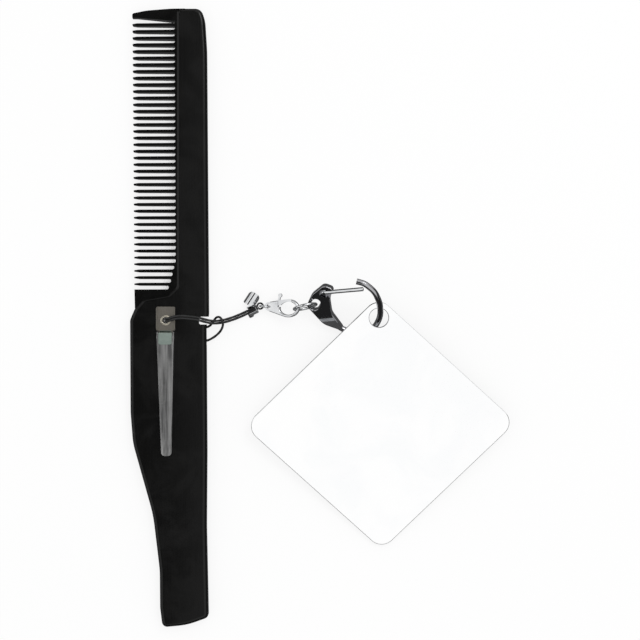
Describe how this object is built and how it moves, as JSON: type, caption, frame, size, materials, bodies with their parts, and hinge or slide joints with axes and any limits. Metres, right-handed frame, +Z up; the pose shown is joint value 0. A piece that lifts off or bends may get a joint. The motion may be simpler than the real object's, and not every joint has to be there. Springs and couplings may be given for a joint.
{
  "type": "pocket mirror comb",
  "caption": "Handled comb with a sprung pocket clip, and a four-sided mirror on a cord, a lobster clasp and a snap hook.",
  "frame": {"origin": "middle of the whole object's footprint as it lies, on the surface it lies on", "axes": "+Z up from the surface; +Y along the comb towards the end of its teeth; the teeth point to -X and the mirror lies on the +X side"},
  "size_m": [0.1163, 0.1899, 0.0149],
  "materials": {
    "comb_plastic": "glossy, moulded",
    "clip_steel": "bright plated, lightly brushed",
    "spring_steel": "blued spring steel, polished",
    "eyelet_metal": "plated brass, worn",
    "cord_black": "waxed braided cord",
    "chain_chrome": "polished",
    "hook_chrome": "polished die casting",
    "mirror_face": "polished reflecting sheet"
  },
  "bodies": {
    "comb": {"comb_body": "comb_plastic", "clip_base": "clip_steel", "clip_spring": "spring_steel", "clip_pin": "clip_steel", "eyelet": "eyelet_metal", "eyelet_washer": "eyelet_metal", "cord": "cord_black", "cord_crimp": "chain_chrome"},
    "tongue": {"clip_tongue": "clip_steel"},
    "jump_ring": {"jump_ring": "chain_chrome"},
    "clasp": {"clasp_body": "chain_chrome", "clasp_pin": "chain_chrome", "clasp_spring": "spring_steel"},
    "clasp_lever": {"clasp_lever": "chain_chrome"},
    "link_ring": {"link_ring": "chain_chrome"},
    "hook": {"hook_body": "hook_chrome", "hook_gate_pin": "hook_chrome", "hook_spring": "spring_steel"},
    "hook_gate": {"hook_gate": "hook_chrome"},
    "mirror": {"mirror": "mirror_face"}
  },
  "joints": [
    {"name": "clip_hinge", "type": "hinge", "parent": "comb", "child": "tongue", "pos_m": [-0.0474, -0.006, 0.00515], "axis": [-1, 0, 0], "range_deg": [0, 12], "stiffness_Nm_per_rad": 0.02, "springref_deg": -5.73, "deforming": ["clip_spring"]},
    {"name": "jump_ring_swing", "type": "hinge", "parent": "comb", "child": "jump_ring", "pos_m": [-0.01857, 0.0037, 0.001], "axis": [0, 0, 1], "range_deg": [-12, 12]},
    {"name": "clasp_swing", "type": "hinge", "parent": "jump_ring", "child": "clasp", "pos_m": [-0.0158, 0.00355, 0.00155], "axis": [0, 0, -1], "range_deg": [-12, 12]},
    {"name": "clasp_lever_hinge", "type": "hinge", "parent": "clasp", "child": "clasp_lever", "pos_m": [-0.01342, 0.00432, 0.00219], "axis": [0.2588, 0, -0.9659], "range_deg": [0, 20], "stiffness_Nm_per_rad": 0.0005, "springref_deg": -11.46, "deforming": ["clasp_spring"]},
    {"name": "link_ring_swing", "type": "hinge", "parent": "clasp", "child": "link_ring", "pos_m": [-0.0066, 0.0031, 0.004], "axis": [0, 0, 1], "range_deg": [-8, 8]},
    {"name": "hook_swing", "type": "hinge", "parent": "link_ring", "child": "hook", "pos_m": [-0.0031, 0.0043, 0.0052], "axis": [0, 0, -1], "range_deg": [-6, 6]},
    {"name": "hook_gate_hinge", "type": "hinge", "parent": "hook", "child": "hook_gate", "pos_m": [0.0011, 0.0077, 0.00928], "axis": [0.2093, 0.6078, -0.766], "range_deg": [0, 35], "stiffness_Nm_per_rad": 0.002, "springref_deg": -11.46, "deforming": ["hook_spring"]},
    {"name": "mirror_swing", "type": "hinge", "parent": "hook", "child": "mirror", "pos_m": [0.01775, 0.0001, 0.0069], "axis": [0.0015, -0.0883, 0.9961], "range_deg": [-15, 15]}
  ]
}
